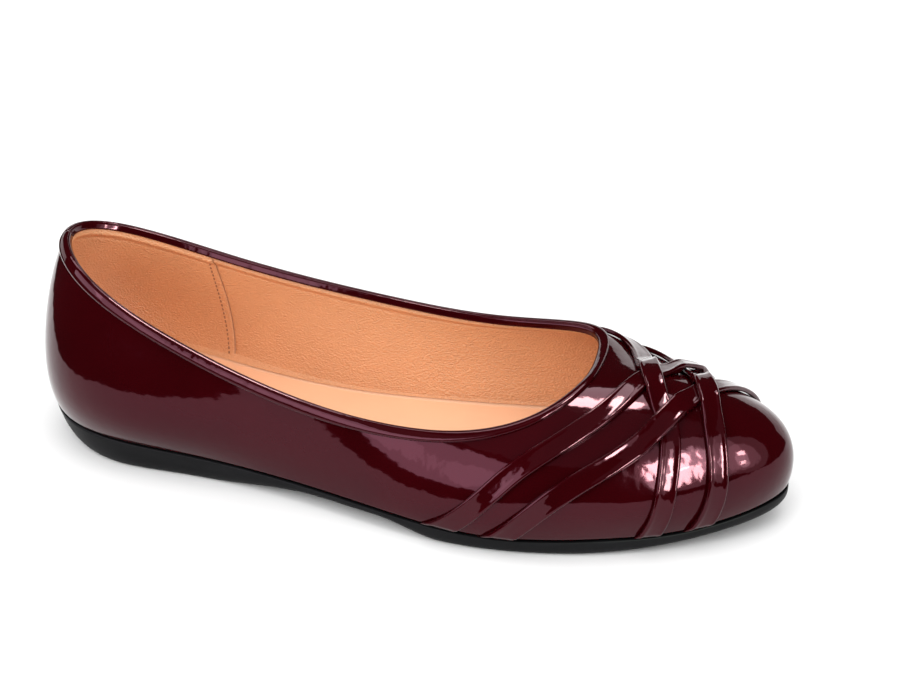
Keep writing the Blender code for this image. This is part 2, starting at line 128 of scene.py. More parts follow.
# Sampling
UPPER_RINGS = 560
UPPER_LEVELS = 72
LINING_RINGS = 420
LINING_LEVELS = 78
SHELL_BACK_LEVELS = 8
LINING_BACK_EVERY = 6
POCKET_EDGE_ROWS = 160
STITCH_SEARCH = 300
CORD_SIDES = 8
SEAM_RINGS = 72
WALL_STEPS = 201
BINDING_RINGS = 720
STRAP_ROWS = 300
STRAP_SEARCH = 500
SOLE_STATIONS = 420
SOLE_ACROSS = 44
SOLE_ROUND_ROWS = 8
INSOLE_STATIONS = 180
INSOLE_ACROSS = 26
OUTLINE_LEVELS = 61
SEARCH_POINTS = 2001
SEARCH_LEVELS = 41
SLOPE_STEP = 1e-4

# One row for each upright section of the last, in order round the foot. Width and height name the sizes that
# the row follows. Feather and collar x are shares of LENGTH, y of the width, collar height of the height.
# Rise and fall are the two curve handles as shares of the section's chord, and flare and lean their angles.
Section = namedtuple("Section", "name width height feather_x feather_y collar_x collar_y collar_h "
                                "rise flare fall lean")
SECTIONS = [
    Section("heel_back", HEEL_WIDTH, BACK_HEIGHT, 0.000, 0.00, 0.019, 0.05, 1.00, 0.33, 13, 0.34, 26),
    Section("heel_out", HEEL_WIDTH, BACK_HEIGHT, 0.055, -0.417, 0.072, -0.315, 0.95, 0.375, 31.5, 0.35, 15.5),
    Section("quarter_out", HEEL_WIDTH, BACK_HEIGHT, 0.224, -0.534, 0.221, -0.513, 0.72, 0.4, 35, 0.325, 16.5),
    Section("waist_out", BALL_WIDTH, OUTER_HEIGHT, 0.419, -0.425, 0.410, -0.388, 1.00, 0.345, 5, 0.355, 12.5),
    Section("joint_out", BALL_WIDTH, OUTER_HEIGHT, 0.611, -0.526, 0.586, -0.390, 0.99, 0.32, 16, 0.345, 47),
    Section("vamp_out", BALL_WIDTH, THROAT_HEIGHT, 0.793, -0.430, 0.695, -0.293, 0.88, 0.395, 18, 0.53, 56.5),
    Section("toe_out", BALL_WIDTH, THROAT_HEIGHT, 0.929, -0.226, 0.736, -0.128, 0.99, 0.25, 18.5, 0.61, 80),
    Section("toe_tip", BALL_WIDTH, THROAT_HEIGHT, 1.000, 0.019, 0.744, 0.020, 1.00, 0.405, 16, 0.50, 88.5),
    Section("toe_in", BALL_WIDTH, THROAT_HEIGHT, 0.942, 0.300, 0.740, 0.222, 1.00, 0.38, 20, 0.57, 68),
    Section("vamp_in", BALL_WIDTH, THROAT_HEIGHT, 0.798, 0.468, 0.700, 0.342, 1.00, 0.31, 19, 0.40, 48),
    Section("joint_in", BALL_WIDTH, INNER_HEIGHT, 0.618, 0.382, 0.584, 0.364, 0.95, 0.31, 24, 0.32, 30),
    Section("waist_in", BALL_WIDTH, INNER_HEIGHT, 0.420, 0.280, 0.418, 0.330, 1.01, 0.28, 24, 0.28, 14),
    Section("quarter_in", HEEL_WIDTH, BACK_HEIGHT, 0.231, 0.462, 0.225, 0.478, 0.79, 0.35, 29, 0.31, 17),
    Section("heel_in", HEEL_WIDTH, BACK_HEIGHT, 0.062, 0.427, 0.052, 0.372, 0.93, 0.355, 29, 0.33, 14.5),
]

# Height of the seat, the surface that upper and sole share, at shares of LENGTH. It is BALL_THICKNESS plus
# these shares of HEEL_LIFT and TOE_LIFT.
Seat = namedtuple("Seat", "name along heel_lift toe_lift")
SEAT_LINE = [
    Seat("behind_heel", -0.04, 1.02, 0.00),
    Seat("heel", 0.065, 0.96, 0.00),
    Seat("heel_breast", 0.232, 0.61, 0.00),
    Seat("shank_rear", 0.378, 0.36, 0.00),
    Seat("shank_front", 0.524, 0.22, 0.00),
    Seat("ball", 0.670, 0.00, 0.00),
    Seat("tread_front", 0.796, 0.00, 0.11),
    Seat("toes", 0.900, 0.00, 0.29),
    Seat("toe_tip", 1.000, 0.00, 1.00),
    Seat("before_toe", 1.040, 0.00, 1.36),
]

# Underside of the sole along LENGTH: it stands on the heel and tread, and lifts between and beyond them
HEEL_BEVEL_END = 0.130
HEEL_UNDERCUT_END = 0.150
HEEL_FLAT_END = 0.255
ARCH_REAR = 0.420
ARCH_FRONT = 0.500
TREAD_START = 0.590
TREAD_END = 0.750
TOE_SPRING_POWER = 1.7

# Fields of tread along LENGTH: each deepens between its first two places and ends between its last two. A
# groove begins and is fully deep at these shares of its wave, and the tread is fully deep this many rims in.
TREAD_FIELDS = [(0.045, 0.050, 0.245, 0.250), (0.545, 0.550, 0.945, 0.950)]
TREAD_GROOVE = (0.25, 0.65)
TREAD_RIM_SLOPE = 1.15

# Side of the sole from its top edge down: height as a share, and inset as shares of SOLE_EDGE_ROUND and
# SOLE_TOP_ROUND. It rounds under from a share of its height.
SOLE_SIDE = [(1.0, 0.0, 2.2), (1.0, 0.0, 1.0), (0.985, 0.0, 0.4), (0.95, 0.0, 0.08), (0.90, 0.0, 0.0)]
SOLE_ROUND_FROM = 0.62

# Rounded top edge of the sock, down from its top and in from its side, as shares of INSOLE_EDGE_ROUND
INSOLE_EDGE = [(0.0, 1.0), (0.07, 0.62), (0.3, 0.28), (1.0, 0.0)]

# The binding narrows between these shares of LENGTH, towards the throat
BINDING_NARROWS_FROM = 0.60
BINDING_NARROWS_TO = 0.72

# Route of a strap's middle line: section number round the foot and height up the wall. The outer straps take
# the routes as they stand, and the inner straps take them mirrored from side to side.
Stop = namedtuple("Stop", "name section up")
REAR_ROUTE = [
    Stop("foot", 3.87, 0.00),
    Stop("wall", 4.22, 0.39),
    Stop("shoulder", 4.59, 0.665),
    Stop("vamp_edge", 5.02, 0.815),
    Stop("beside_throat", 5.73, 0.875),
    Stop("before_crest", 6.45, 0.865),
    Stop("crest", 6.95, 0.837),
    Stop("past_crest", 7.44, 0.782),
    Stop("far_vamp", 7.92, 0.657),
    Stop("far_wall", 8.30, 0.44),
    Stop("far_foot", 8.63, 0.00),
]
FRONT_ROUTE = [
    Stop("foot", 4.27, 0.00),
    Stop("wall", 4.70, 0.38),
    Stop("shoulder", 5.12, 0.585),
    Stop("vamp_edge", 5.70, 0.693),
    Stop("before_crest", 6.24, 0.706),
    Stop("crest", 6.72, 0.683),
    Stop("past_crest", 7.10, 0.640),
    Stop("far_vamp", 7.45, 0.565),
    Stop("far_shoulder", 7.75, 0.445),
    Stop("far_wall", 7.98, 0.285),
    Stop("far_foot", 8.20, 0.00),
]

# A plain weave: each strap passes over one crossing strap and under the other
Strap = namedtuple("Strap", "name route mirrored over")
STRAPS = [
    Strap("strap_outer_rear", REAR_ROUTE, False, "strap_inner_front"),
    Strap("strap_outer_front", FRONT_ROUTE, False, "strap_inner_rear"),
    Strap("strap_inner_rear", REAR_ROUTE, True, "strap_outer_rear"),
    Strap("strap_inner_front", FRONT_ROUTE, True, "strap_outer_front"),
]

# Cross-section of a strap from its one side to its middle: side as a share of half its width, height as a
# share of its thickness. Its folded edges stand a little higher than its middle. The other half mirrors it.
STRAP_HALF = [(-0.955, 0.05), (-0.99, 0.25), (-1.0, 0.46), (-0.98, 0.68), (-0.94, 0.85), (-0.87, 0.96),
              (-0.78, 1.0), (-0.68, 0.96), (-0.56, 0.89), (-0.42, 0.855), (-0.21, 0.84), (0.0, 0.84)]
STRAP_TOP = STRAP_HALF + [(-side, height) for side, height in STRAP_HALF[-2::-1]]
STRAP_BOTTOM = [(0.6, 0.0), (0.0, 0.0), (-0.6, 0.0)]

# Seam of the lining's heel pocket: section numbers on the inner side, from the collar down to the sock. The
# outer side has the same seam mirrored.
SEAM_TOP = 12.18
SEAM_FOOT = 12.10
SEAM_BOW = 0.012

# Studio: angles in degrees, brightness where a pale floor is 1
TABLE_FRONT = -0.25
TABLE_LEFT = -0.27
BACKDROP_FROM = 40
BACKDROP_TO = 170
BACKDROP_RADIUS = 1.6
BACKDROP_HEIGHT = 0.50
BACKDROP_STEP = 5
TABLE_REACH = 3.0
GROUND_REACH = 6.0
GROUND_BELOW = 0.0001
LIGHT_DISTANCE = 1.3
LIGHT_AIM_HEIGHT = 0.03
AIR_LIGHT = 1.30
AIR_MIRRORED = 0.02
BOX_WHITE = (1.0, 0.98, 1.08)
GLOW_WHITE = (0.85, 1.0, 0.96)
WINDOW_WHITE = (0.85, 1.0, 0.85)
PLAIN_WHITE = (1.0, 1.0, 1.0)

# Lights as the shoe sees them: direction, width and height in degrees. The mirrored ones only show in the
# gloss, and the others light the shoe and the floor without showing in it.
Light = namedtuple("Light", "name azimuth elevation wide high radiance colour shape mirrored",
                   defaults=("RECTANGLE", True))
LIGHTS = [
    Light("front_box", -119, 28.5, 34, 38, 3.1, BOX_WHITE),
    Light("left_box", -153, 31, 34, 36, 3.1, BOX_WHITE),
    Light("front_glow", -109, 24, 12, 24, 0.9, BOX_WHITE, "ELLIPSE"),
    Light("window", -45, 33, 5, 16, 50.0, WINDOW_WHITE),
    Light("window_foot", -43, 17, 4, 19, 42.0, WINDOW_WHITE),
    Light("window_glow", -43.5, 27, 9, 36, 7.0, GLOW_WHITE, "ELLIPSE"),
    Light("window_haze", -39, 28, 22, 52, 1.3, PLAIN_WHITE, "ELLIPSE"),
    Light("toe_window", -28, 25, 4, 5, 42.0, WINDOW_WHITE),
    Light("toe_window_foot", -30, 13, 3, 5, 42.0, WINDOW_WHITE),
    Light("toe_glow", -29, 18, 8, 22, 3.5, GLOW_WHITE, "ELLIPSE"),
    Light("toe_haze", -27, 20, 20, 34, 1.2, PLAIN_WHITE, "ELLIPSE"),
    Light("toe_haze_wide", -23, 22, 34, 48, 0.7, PLAIN_WHITE, "ELLIPSE"),
    Light("top_window", 70, 80, 13, 11, 36.0, WINDOW_WHITE, "ELLIPSE"),
    Light("top_glow", 78, 72, 26, 30, 5.0, GLOW_WHITE, "ELLIPSE"),
    Light("back_strip", 125, 56, 34, 11, 4.0, PLAIN_WHITE),
    Light("ceiling", -90, 72, 60, 40, 0.16, PLAIN_WHITE, "ELLIPSE"),
    Light("front_fill", -110, 35, 40, 40, 2.2, PLAIN_WHITE, "RECTANGLE", False),
    Light("overhead", -60, 80, 40, 40, 1.6, PLAIN_WHITE, "RECTANGLE", False),
]

# Colours
PATENT_BURGUNDY = (0.0220, 0.0004, 0.0012)
PATENT_GLOSS = (1.0, 0.33, 0.46)
LINING_TAN = (0.69, 0.320, 0.145)
SOCK_CREAM = (0.84, 0.46, 0.265)
THREAD_BROWN = (0.33, 0.125, 0.050)
# Dark brown of the heel pocket's edge cord: painted shade, a dark line standing in for the seam groove's
# shade
EDGE_SHADE_BROWN = (0.40, 0.165, 0.070)
SOLE_BLACK = (0.0042, 0.0041, 0.0048)
FLOOR_WHITE = (0.84, 0.84, 0.84)


def natural_spline(knots, values, at):
    """Smooth curve through the values, one column for each thing that varies."""
    count = len(knots)
    gaps = np.diff(knots)
    system = np.eye(count)
    right = np.zeros_like(values)
    right[1:-1] = 6 * np.diff(np.diff(values, axis=0) / gaps[:, None], axis=0)
    for i in range(1, count - 1):
        system[i, i - 1:i + 2] = gaps[i - 1], 2 * (gaps[i - 1] + gaps[i]), gaps[i]
    bends = np.linalg.solve(system, right)
    cell = np.clip(np.searchsorted(knots, at) - 1, 0, count - 2)
    gap = gaps[cell][..., None]
    before = (knots[cell + 1] - at)[..., None] / gap
    after = 1 - before
    bend = (before ** 3 - before) * bends[cell] + (after ** 3 - after) * bends[cell + 1]
    return before * values[cell] + after * values[cell + 1] + bend * gap ** 2 / 6


def closed_spline(knots, values, at):
    """Smooth closed curve through the values, and its slope."""
    count = len(values)
    gaps = np.diff(knots)
    chords = (np.roll(values, -1, axis=0) - values) / gaps[:, None]
    system = np.zeros((count, count))
    for i in range(count):
        system[i, i - 1] += gaps[i - 1]
        system[i, i] += 2 * (gaps[i - 1] + gaps[i])
        system[i, (i + 1) % count] += gaps[i]
    bends = np.linalg.solve(system, 6 * (chords - np.roll(chords, 1, axis=0)))
    place = np.mod(at, knots[-1])
    cell = np.clip(np.searchsorted(knots, place, side="right") - 1, 0, count - 1)
    following = (cell + 1) % count
    gap = gaps[cell][..., None]
    a = (knots[cell + 1] - place)[..., None] / gap
    b = 1 - a
    bend = (a ** 3 - a) * bends[cell] + (b ** 3 - b) * bends[following]
    curve = a * values[cell] + b * values[following] + bend * gap ** 2 / 6
    bend_slope = (3 * b ** 2 - 1) * bends[following] - (3 * a ** 2 - 1) * bends[cell]
    return curve, chords[cell] + bend_slope * gap / 6


def unit(vectors):
    return vectors / np.linalg.norm(vectors, axis=-1, keepdims=True)


def run_length(points):
    """Distance along a line of points, from its start to each of them."""
    return np.concatenate([[0.0], np.cumsum(np.linalg.norm(np.diff(points, axis=0), axis=1))])


def smooth_step(low, high, x):
    """0 below low, 1 above high, with a soft rise between them."""
    share = np.clip((x - low) / (high - low), 0.0, 1.0)
    return share * share * (3 - 2 * share)


def plateau(x, rises_from, rises_to, falls_from, falls_to):
    """0, a soft rise to 1, and a soft fall back to 0."""
    return smooth_step(rises_from, rises_to, x) * (1 - smooth_step(falls_from, falls_to, x))


def ridge(x, place, width):
    """A soft ridge 1 high."""
    return np.exp(-((x - place) / width) ** 2)


def seat_height(x):
    """Height of the feather line and the sole's top surface at a place along the shoe."""
    along = np.array([row.along * LENGTH for row in SEAT_LINE])
    height = [BALL_THICKNESS + row.heel_lift * HEEL_LIFT + row.toe_lift * TOE_LIFT for row in SEAT_LINE]
    return natural_spline(along, np.array(height)[:, None], x)[..., 0]


def underside_height(x):
    """Height of the sole's underside: zero over the heel and the tread."""
    share = x / LENGTH
    bevel = HEEL_BEVEL * np.clip(1 - share / HEEL_BEVEL_END, 0.0, None) ** 2
    arch = plateau(share, HEEL_FLAT_END, ARCH_REAR, ARCH_FRONT, TREAD_START)
    beyond = np.clip((share - TREAD_END) / (1 - TREAD_END), 0.0, None)
    return bevel + ARCH_RISE * arch + TOE_SPRING * beyond ** TOE_SPRING_POWER


def section_table():
    """Knots round the foot and one row of real lengths and angles for each section."""
    rows = []
    for row in SECTIONS:
        feather_x = row.feather_x * LENGTH
        collar_x = row.collar_x * LENGTH
        feather = np.array([feather_x, row.feather_y * row.width, seat_height(feather_x)])
        collar_z = seat_height(collar_x) + row.collar_h * row.height
        collar = np.array([collar_x, row.collar_y * row.width, collar_z])
        chord = np.linalg.norm(collar - feather)
        rows.append([*feather[:2], *collar, row.rise * chord, row.flare, row.fall * chord, row.lean])
    rows = np.array(rows)
    knots = run_length(np.vstack([rows, rows[:1]])[:, :2])
    return knots / knots[-1], rows


KNOTS, SECTION_ROWS = section_table()


def around(section_number):
    """Place round the foot for a section number, which may lie between two sections."""
    return np.interp(section_number, np.arange(len(KNOTS)), KNOTS)


def side_normal(slope):
    """Level direction that points out of a loop which runs anticlockwise seen from above."""
    return unit(np.stack([slope[..., 1], -slope[..., 0], np.zeros_like(slope[..., 0])], axis=-1))


def wall_curve(s):
    """The four control points of the wall's curve at s, and the outward direction at its foot."""
    values, slopes = closed_spline(KNOTS, SECTION_ROWS, s)
    feather = np.stack([values[..., 0], values[..., 1], seat_height(values[..., 0])], axis=-1)
    collar = values[..., 2:5]
    foot_out = side_normal(slopes[..., 0:2])
    top_out = side_normal(slopes[..., 2:4])
    up = np.array([0.0, 0.0, 1.0])
    flare = np.radians(values[..., 6:7])
    lean = np.radians(values[..., 8:9])
    low = feather + values[..., 5:6] * (foot_out * np.sin(flare) + up * np.cos(flare))
    high = collar + values[..., 7:8] * (top_out * np.sin(lean) - up * np.cos(lean))
    return feather, low, high, collar, foot_out


def skin(s, t):
    """Points of the upper's outer face."""
    s, t = np.broadcast_arrays(np.asarray(s, float), np.asarray(t, float))
    feather, low, high, collar, _ = wall_curve(s)
    t = t[..., None]
    rest = 1 - t
    return rest ** 3 * feather + 3 * rest ** 2 * t * low + 3 * rest * t ** 2 * high + t ** 3 * collar


def skin_slopes(s, t):
    """Change of the outer face round the foot and up the wall."""
    round_slope = (skin(s + SLOPE_STEP, t) - skin(s - SLOPE_STEP, t)) / (2 * SLOPE_STEP)
    up_slope = (skin(s, t + SLOPE_STEP) - skin(s, t - SLOPE_STEP)) / (2 * SLOPE_STEP)
    return round_slope, up_slope


def skin_normal(s, t):
    round_slope, up_slope = skin_slopes(s, t)
    return unit(np.cross(round_slope, up_slope))


def rolled_skin(s, t):
    """The outer face with its lowest edge rolled in over the sole."""
    points = skin(s, t)
    above = points[..., 2] - seat_height(points[..., 0])
    left = np.clip(FEATHER_ROLL - above, 0.0, FEATHER_ROLL)
    inset = FEATHER_ROLL - np.sqrt(FEATHER_ROLL ** 2 - left ** 2)
    foot_out = wall_curve(np.broadcast_to(s, above.shape))[4]
    return points - foot_out * inset[..., None]


def wall_lengths(s, levels):
    """Distance down the wall from the collar edge, for each place round the foot and each level."""
    points = skin(s[:, None], levels[None, :])
    steps = np.linalg.norm(np.diff(points, axis=1), axis=2)
    from_foot = np.concatenate([np.zeros((len(s), 1)), np.cumsum(steps, axis=1)], axis=1)
    return from_foot[:, -1:] - from_foot


def margin_point(feather, foot_out, inset, above_seat):
    """Point in from the feather line and above the seat."""
    point = feather - foot_out * inset
    point[..., 2] = seat_height(point[..., 0]) + above_seat
    return point


def shoe_offset():
    """Move from the shoe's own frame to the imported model's, which lines up the outer faces of the upper."""
    places = np.linspace(0.0, 1.0, SEARCH_POINTS)[:, None]
    points = skin(places, np.linspace(0.0, 1.0, SEARCH_LEVELS)[None, :]).reshape(-1, 3)
    low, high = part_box("upper")
    middle = (points.min(axis=0) + points.max(axis=0)) / 2
    return np.array([(low.x + high.x) / 2 - middle[0], (low.y + high.y) / 2 - middle[1], 0.0])


OFFSET = shoe_offset()


def set_uv(mesh, uv):
    """Gives each corner of the mesh its vertex's place on the flat material, in metres."""
    layer = mesh.uv_layers.new(name="along_across")
    corners = np.zeros(len(mesh.loops), dtype=int)
    mesh.loops.foreach_get("vertex_index", corners)
    layer.data.foreach_set("uv", uv[corners].astype(np.float32).ravel())


def placed(name, data):
    """A new object in the scene for a mesh, a light or a camera."""
    thing = bpy.data.objects.new(name, data)
    bpy.context.scene.collection.objects.link(thing)
    return thing


def add_piece(name, points, faces, finish, uv=None, replaced=()):
    """One smooth shaded piece of the shoe, turned face out and riding on the shoe's body."""
    points = np.asarray(points) + OFFSET
    corners = np.array([(face[0], face[i], face[i + 1]) for face in faces for i in range(1, len(face) - 1)])
    a, b, c = points[corners[:, 0]], points[corners[:, 1]], points[corners[:, 2]]
    if np.einsum("ij,ij->", a, np.cross(b, c)) < 0:
        faces = [face[::-1] for face in faces]
    mesh = bpy.data.meshes.new(name)
    mesh.from_pydata(points.tolist(), [], faces)
    mesh.shade_smooth()
    mesh.materials.append(finish)
    if uv is not None:
        set_uv(mesh, uv)
    mesh.validate()
    piece = placed(name, mesh)
    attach(piece, "root")
    if replaced:
        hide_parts(*replaced)
    return piece


def ring_faces(count, size, joined_ends):
    """Faces of a skin over rings of points, closed from end to end or filled at both ends."""
    rows = np.arange(count if joined_ends else count - 1)[:, None]
    here = np.arange(size)[None, :]
    there = (here + 1) % size
    following = (rows + 1) % count
    corners = [rows * size + here, rows * size + there, following * size + there, following * size + here]
    faces = np.stack(corners, axis=-1).reshape(-1, 4).tolist()
    if not joined_ends:
        faces.append(list(range(size))[::-1])
        faces.append([(count - 1) * size + j for j in range(size)])
    return faces


def ring_uv(rings):
    """Distance along the rings and round each ring."""
    along = run_length(rings.mean(axis=1))
    across = np.linalg.norm(np.diff(rings, axis=1), axis=2)
    across = np.concatenate([np.zeros((len(rings), 1)), np.cumsum(across, axis=1)], axis=1)
    return np.stack([np.broadcast_to(along[:, None], across.shape), across], axis=-1).reshape(-1, 2)


def ring_piece(name, rings, joined_ends, finish, replaced=()):
    faces = ring_faces(rings.shape[0], rings.shape[1], joined_ends)
    return add_piece(name, rings.reshape(-1, 3), faces, finish, ring_uv(rings), replaced)


# Materials


def scaled(colour, share):
    return (*(share * channel for channel in colour), 1.0)


class Finish:
    """A procedural material whose textures lie at the object's own coordinates."""

    def __init__(self, name, roughness, specular):
        self.material = bpy.data.materials.new(name)
        self.material.use_nodes = True
        self.nodes = self.material.node_tree.nodes
        self.links = self.material.node_tree.links
        self.shader = self.nodes["Principled BSDF"]
        self.places = self.nodes.new("ShaderNodeTexCoord").outputs["Object"]
        self.normal = None
        self.shade({"Roughness": roughness, "Specular IOR Level": specular})

    def shade(self, values):
        for name, value in values.items():
            self.shader.inputs[name].default_value = value

    def node(self, kind, values, linked):
        """A new node with some of its inputs set and the others linked."""
        node = self.nodes.new(kind)
        for name, value in values.items():
            node.inputs[name].default_value = value
        for name, output in linked.items():
            self.links.new(output, node.inputs[name])
        return node

    def stretched(self, scale):
        """The object's coordinates with their own scale along each axis."""
        return self.node("ShaderNodeMapping", {"Scale": scale}, {"Vector": self.places}).outputs["Vector"]

    def noise(self, scale, detail=2.0, roughness=0.5, stretch=None):
        values = {"Scale": scale, "Detail": detail, "Roughness": roughness}
        places = self.stretched(stretch) if stretch else self.places
        return self.node("ShaderNodeTexNoise", values, {"Vector": places}).outputs["Fac"]

    def paint(self, factor, colour, dark, light, low=0.35, high=0.65):
        """Base colour that runs from a dark share to a light share of the colour as the factor does."""
        ramp = self.node("ShaderNodeValToRGB", {}, {"Fac": factor})
        first, second = ramp.color_ramp.elements
        first.position, first.color = low, scaled(colour, dark)
        second.position, second.color = high, scaled(colour, light)
        self.links.new(ramp.outputs["Color"], self.shader.inputs["Base Color"])

    def bump(self, height, distance, strength):
        """Relief on top of the relief before it."""
        linked = {"Height": height}
        if self.normal is not None:
            linked["Normal"] = self.normal
        node = self.node("ShaderNodeBump", {"Strength": strength, "Distance": distance}, linked)
        self.normal = node.outputs["Normal"]
        self.links.new(self.normal, self.shader.inputs["Normal"])


def patent_leather(name, wobble, ripple, coat):
    """Burgundy leather under a thick clear film, with the slow wobble and fine ripple of its reflections."""
    finish = Finish(name, roughness=0.07, specular=0.36)
    finish.shade({"IOR": 1.5, "Specular Tint": scaled(PATENT_GLOSS, 1.0), "Coat Weight": coat,
                  "Coat Roughness": 0.02, "Coat IOR": 1.35})
    finish.paint(finish.noise(38.0), PATENT_BURGUNDY, dark=0.88, light=1.10)
    finish.bump(finish.noise(55.0, detail=1.0), distance=0.0007, strength=wobble)
    finish.bump(finish.noise(270.0, detail=1.0), distance=0.00012, strength=ripple)
    finish.bump(finish.noise(900.0), distance=0.000025, strength=wobble)
    finish.links.new(finish.normal, finish.shader.inputs["Coat Normal"])
    return finish.material


def grained_lining():
    """Tan lining leather with a fine pebbled grain and slow stains of wear."""
    finish = Finish("lining_tan", roughness=0.50, specular=0.42)
    finish.paint(finish.noise(55.0, detail=3.0), LINING_TAN, dark=0.96, light=1.02)
    stretched = finish.stretched((0.62, 1.0, 1.0))
    pebbles = finish.node("ShaderNodeTexVoronoi", {"Scale": 2100.0, "Randomness": 1.0}, {"Vector": stretched})
    pebbles.feature = "SMOOTH_F1"
    pebbles.inputs["Smoothness"].default_value = 0.6
    finish.bump(pebbles.outputs["Distance"], distance=0.00030, strength=1.0)
    finish.bump(finish.noise(420.0, detail=3.0), distance=0.0003, strength=0.22)
    return finish.material


def smooth_sock():
    """Cream sock leather, smoother and paler than the lining."""
    finish = Finish("sock_cream", roughness=0.48, specular=0.40)
    finish.paint(finish.noise(42.0, detail=3.0), SOCK_CREAM, dark=0.97, light=1.02)
    finish.bump(finish.noise(1900.0), distance=0.00010, strength=0.35)
    finish.bump(finish.noise(210.0), distance=0.00035, strength=0.22)
    return finish.material


def fibrous(name, colour):
    """Thread, or the cut edge of leather, darkened there as a painted shade line."""
    finish = Finish(name, roughness=0.65, specular=0.5)
    strands = finish.noise(5200.0, detail=1.0, stretch=(1.0, 1.0, 3.0))
    finish.paint(strands, colour, dark=0.75, light=1.0)
    finish.bump(strands, distance=0.00006, strength=0.6)
    return finish.material


def moulded_rubber():
    """Black satin rubber with a very fine moulded grain and faint scuffs."""
    finish = Finish("rubber_black", roughness=0.48, specular=0.12)
    scuffs = finish.noise(1.0, detail=4.0, roughness=0.6, stretch=(60.0, 260.0, 260.0))
    finish.paint(scuffs, SOLE_BLACK, dark=1.0, light=1.5, low=0.45, high=0.75)
    finish.bump(finish.noise(2600.0), distance=0.00006, strength=0.5)
    return finish.material


def pale_floor():
    finish = Finish("floor_white", roughness=0.9, specular=0.0)
    finish.paint(finish.noise(3.0), FLOOR_WHITE, dark=0.99, light=1.0)
    return finish.material


# Pieces


def patent_shell(finish):
    """Outer leather: its face, its edge under the binding, its back and the margin over the sole."""
    places = np.arange(UPPER_RINGS) / UPPER_RINGS
    rise = np.linspace(0.0, 1.0, UPPER_LEVELS)
    outer = [rolled_skin(places, t) for t in rise ** UPPER_CROWDING]
    down = np.linspace(1.0, SHELL_BACK_FOOT, SHELL_BACK_LEVELS)
    inner = [skin(places, t) - PATENT_WALL * skin_normal(places, t) for t in down]
    feather, _, _, _, foot_out = wall_curve(places)
    corner = margin_point(feather, foot_out, SHELL_CORNER_IN * PATENT_WALL, PATENT_WALL)
    margin_top = margin_point(feather, foot_out, LASTING_MARGIN, PATENT_WALL)
    margin_bottom = margin_point(feather, foot_out, LASTING_MARGIN, 0.0)
    turned_under = margin_point(feather, foot_out, TURNED_UNDER_IN * FEATHER_ROLL, 0.0)
    profile = [*outer, *inner, corner, margin_top, margin_bottom, turned_under]
    return ring_piece("upper_patent", np.stack(profile, axis=1), True, finish, ("upper",))


def seam_place(t):
    """Place round the foot of the heel pocket's front edge on the inner side, at a height up the wall."""
    return around(SEAM_FOOT + (SEAM_TOP - SEAM_FOOT) * t - 4 * SEAM_BOW * t * (1 - t))


def lining_relief(s, t, down):
    """How far the lining stands in from its plain face: puffed top, line under it and heel pocket."""
    puff = LINING_RIDGE * ridge(down, LINING_RIDGE_PLACE, LINING_RIDGE_WIDTH)
    line = LINING_LINE * ridge(down, LINING_LINE_PLACE, LINING_LINE_WIDTH)
    round_step = np.linalg.norm(skin_slopes(s, t)[0], axis=-1)
    behind_inner = (s - seam_place(t)) * round_step
    behind_outer = (1.0 - seam_place(t) - s) * round_step
    behind = np.maximum(behind_inner, behind_outer)
    pocket = COUNTER_STEP * smooth_step(0.0, COUNTER_STEP_WIDTH, behind)
    groove = SEAM_GROOVE * ridge(behind, -SEAM_GROOVE_PLACE, SEAM_GROOVE_WIDTH)
    return puff - line + pocket - groove


def lining_face(s, t, down, inward=0.0):
    """Points of the lining's visible face, or further inward than it."""
    depth = UPPER_WALL + lining_relief(s, t, down) + inward
    return skin(s, t) - depth[..., None] * skin_normal(s, t)


def ring_places_near_seams():
    """Places round the foot, closer together at the seams of the heel pocket."""
    plain = np.arange(LINING_RINGS) / LINING_RINGS
    seam = seam_place(np.linspace(0.0, 1.0, WALL_STEPS))
    inner = np.linspace(seam.min(), seam.max(), SEAM_RINGS)
    return np.unique(np.concatenate([plain, inner, 1.0 - inner]))


def down_from_edge(s, t):
    """Distance down the wall from the collar edge to each point, one row of points for each place."""
    steps = np.linspace(0.0, 1.0, WALL_STEPS)
    table = wall_lengths(s, steps)
    return np.array([np.interp(row, steps, lengths) for row, lengths in zip(t, table)])


def lining_line(s, t, inward=0.0):
    """Points of a line along the lining."""
    return lining_face(s, t, down_from_edge(s, t[:, None])[:, 0], inward)


def lining(finish):
    """Lining leather inside the wall, with a puffed top edge and a heel pocket sewn over it."""
    places = ring_places_near_seams()
    steps = np.linspace(0.0, 1.0, WALL_STEPS)
    top = np.array([np.interp(-LINING_TOP, -lengths, steps) for lengths in wall_lengths(places, steps)])
    share = 1 - (1 - np.linspace(0.0, 1.0, LINING_LEVELS)) ** LINING_CROWDING
    levels = LINING_FOOT + (top - LINING_FOOT)[:, None] * share
    s = np.broadcast_to(places[:, None], levels.shape)
    face = lining_face(s, levels, down_from_edge(places, levels))
    back = skin(s, levels) - (PATENT_WALL + LINING_GAP) * skin_normal(s, levels)
    feather, _, _, _, foot_out = wall_curve(places)
    foot_in = LINING_FOOT_IN * UPPER_WALL
    foot_face = margin_point(feather, foot_out, foot_in, UPPER_WALL)
    foot_back = margin_point(feather, foot_out, foot_in, PATENT_WALL + LINING_GAP)
    down_back = back[:, ::-LINING_BACK_EVERY]
    rings = np.concatenate([face, down_back, foot_back[:, None], foot_face[:, None]], axis=1)
    return ring_piece("lining", rings, True, finish)


def stitch_row(s, t):
    """Capsules of thread in a row along a line on the lining, each partly sunk in it."""
    line = lining_line(s, t, STITCH_PROUD * STITCH_RADIUS)
    lengths = run_length(line)
    count = int(lengths[-1] / STITCH_PITCH)
    points, faces = [], []
    for i in range(count):
        start = (i + 0.5) * STITCH_PITCH - STITCH_LENGTH / 2
        ends = [np.array([np.interp(place, lengths, line[:, axis]) for axis in range(3)])
                for place in (start, start + STITCH_LENGTH)]
        add_capsule(points, faces, *ends)
    return points, faces


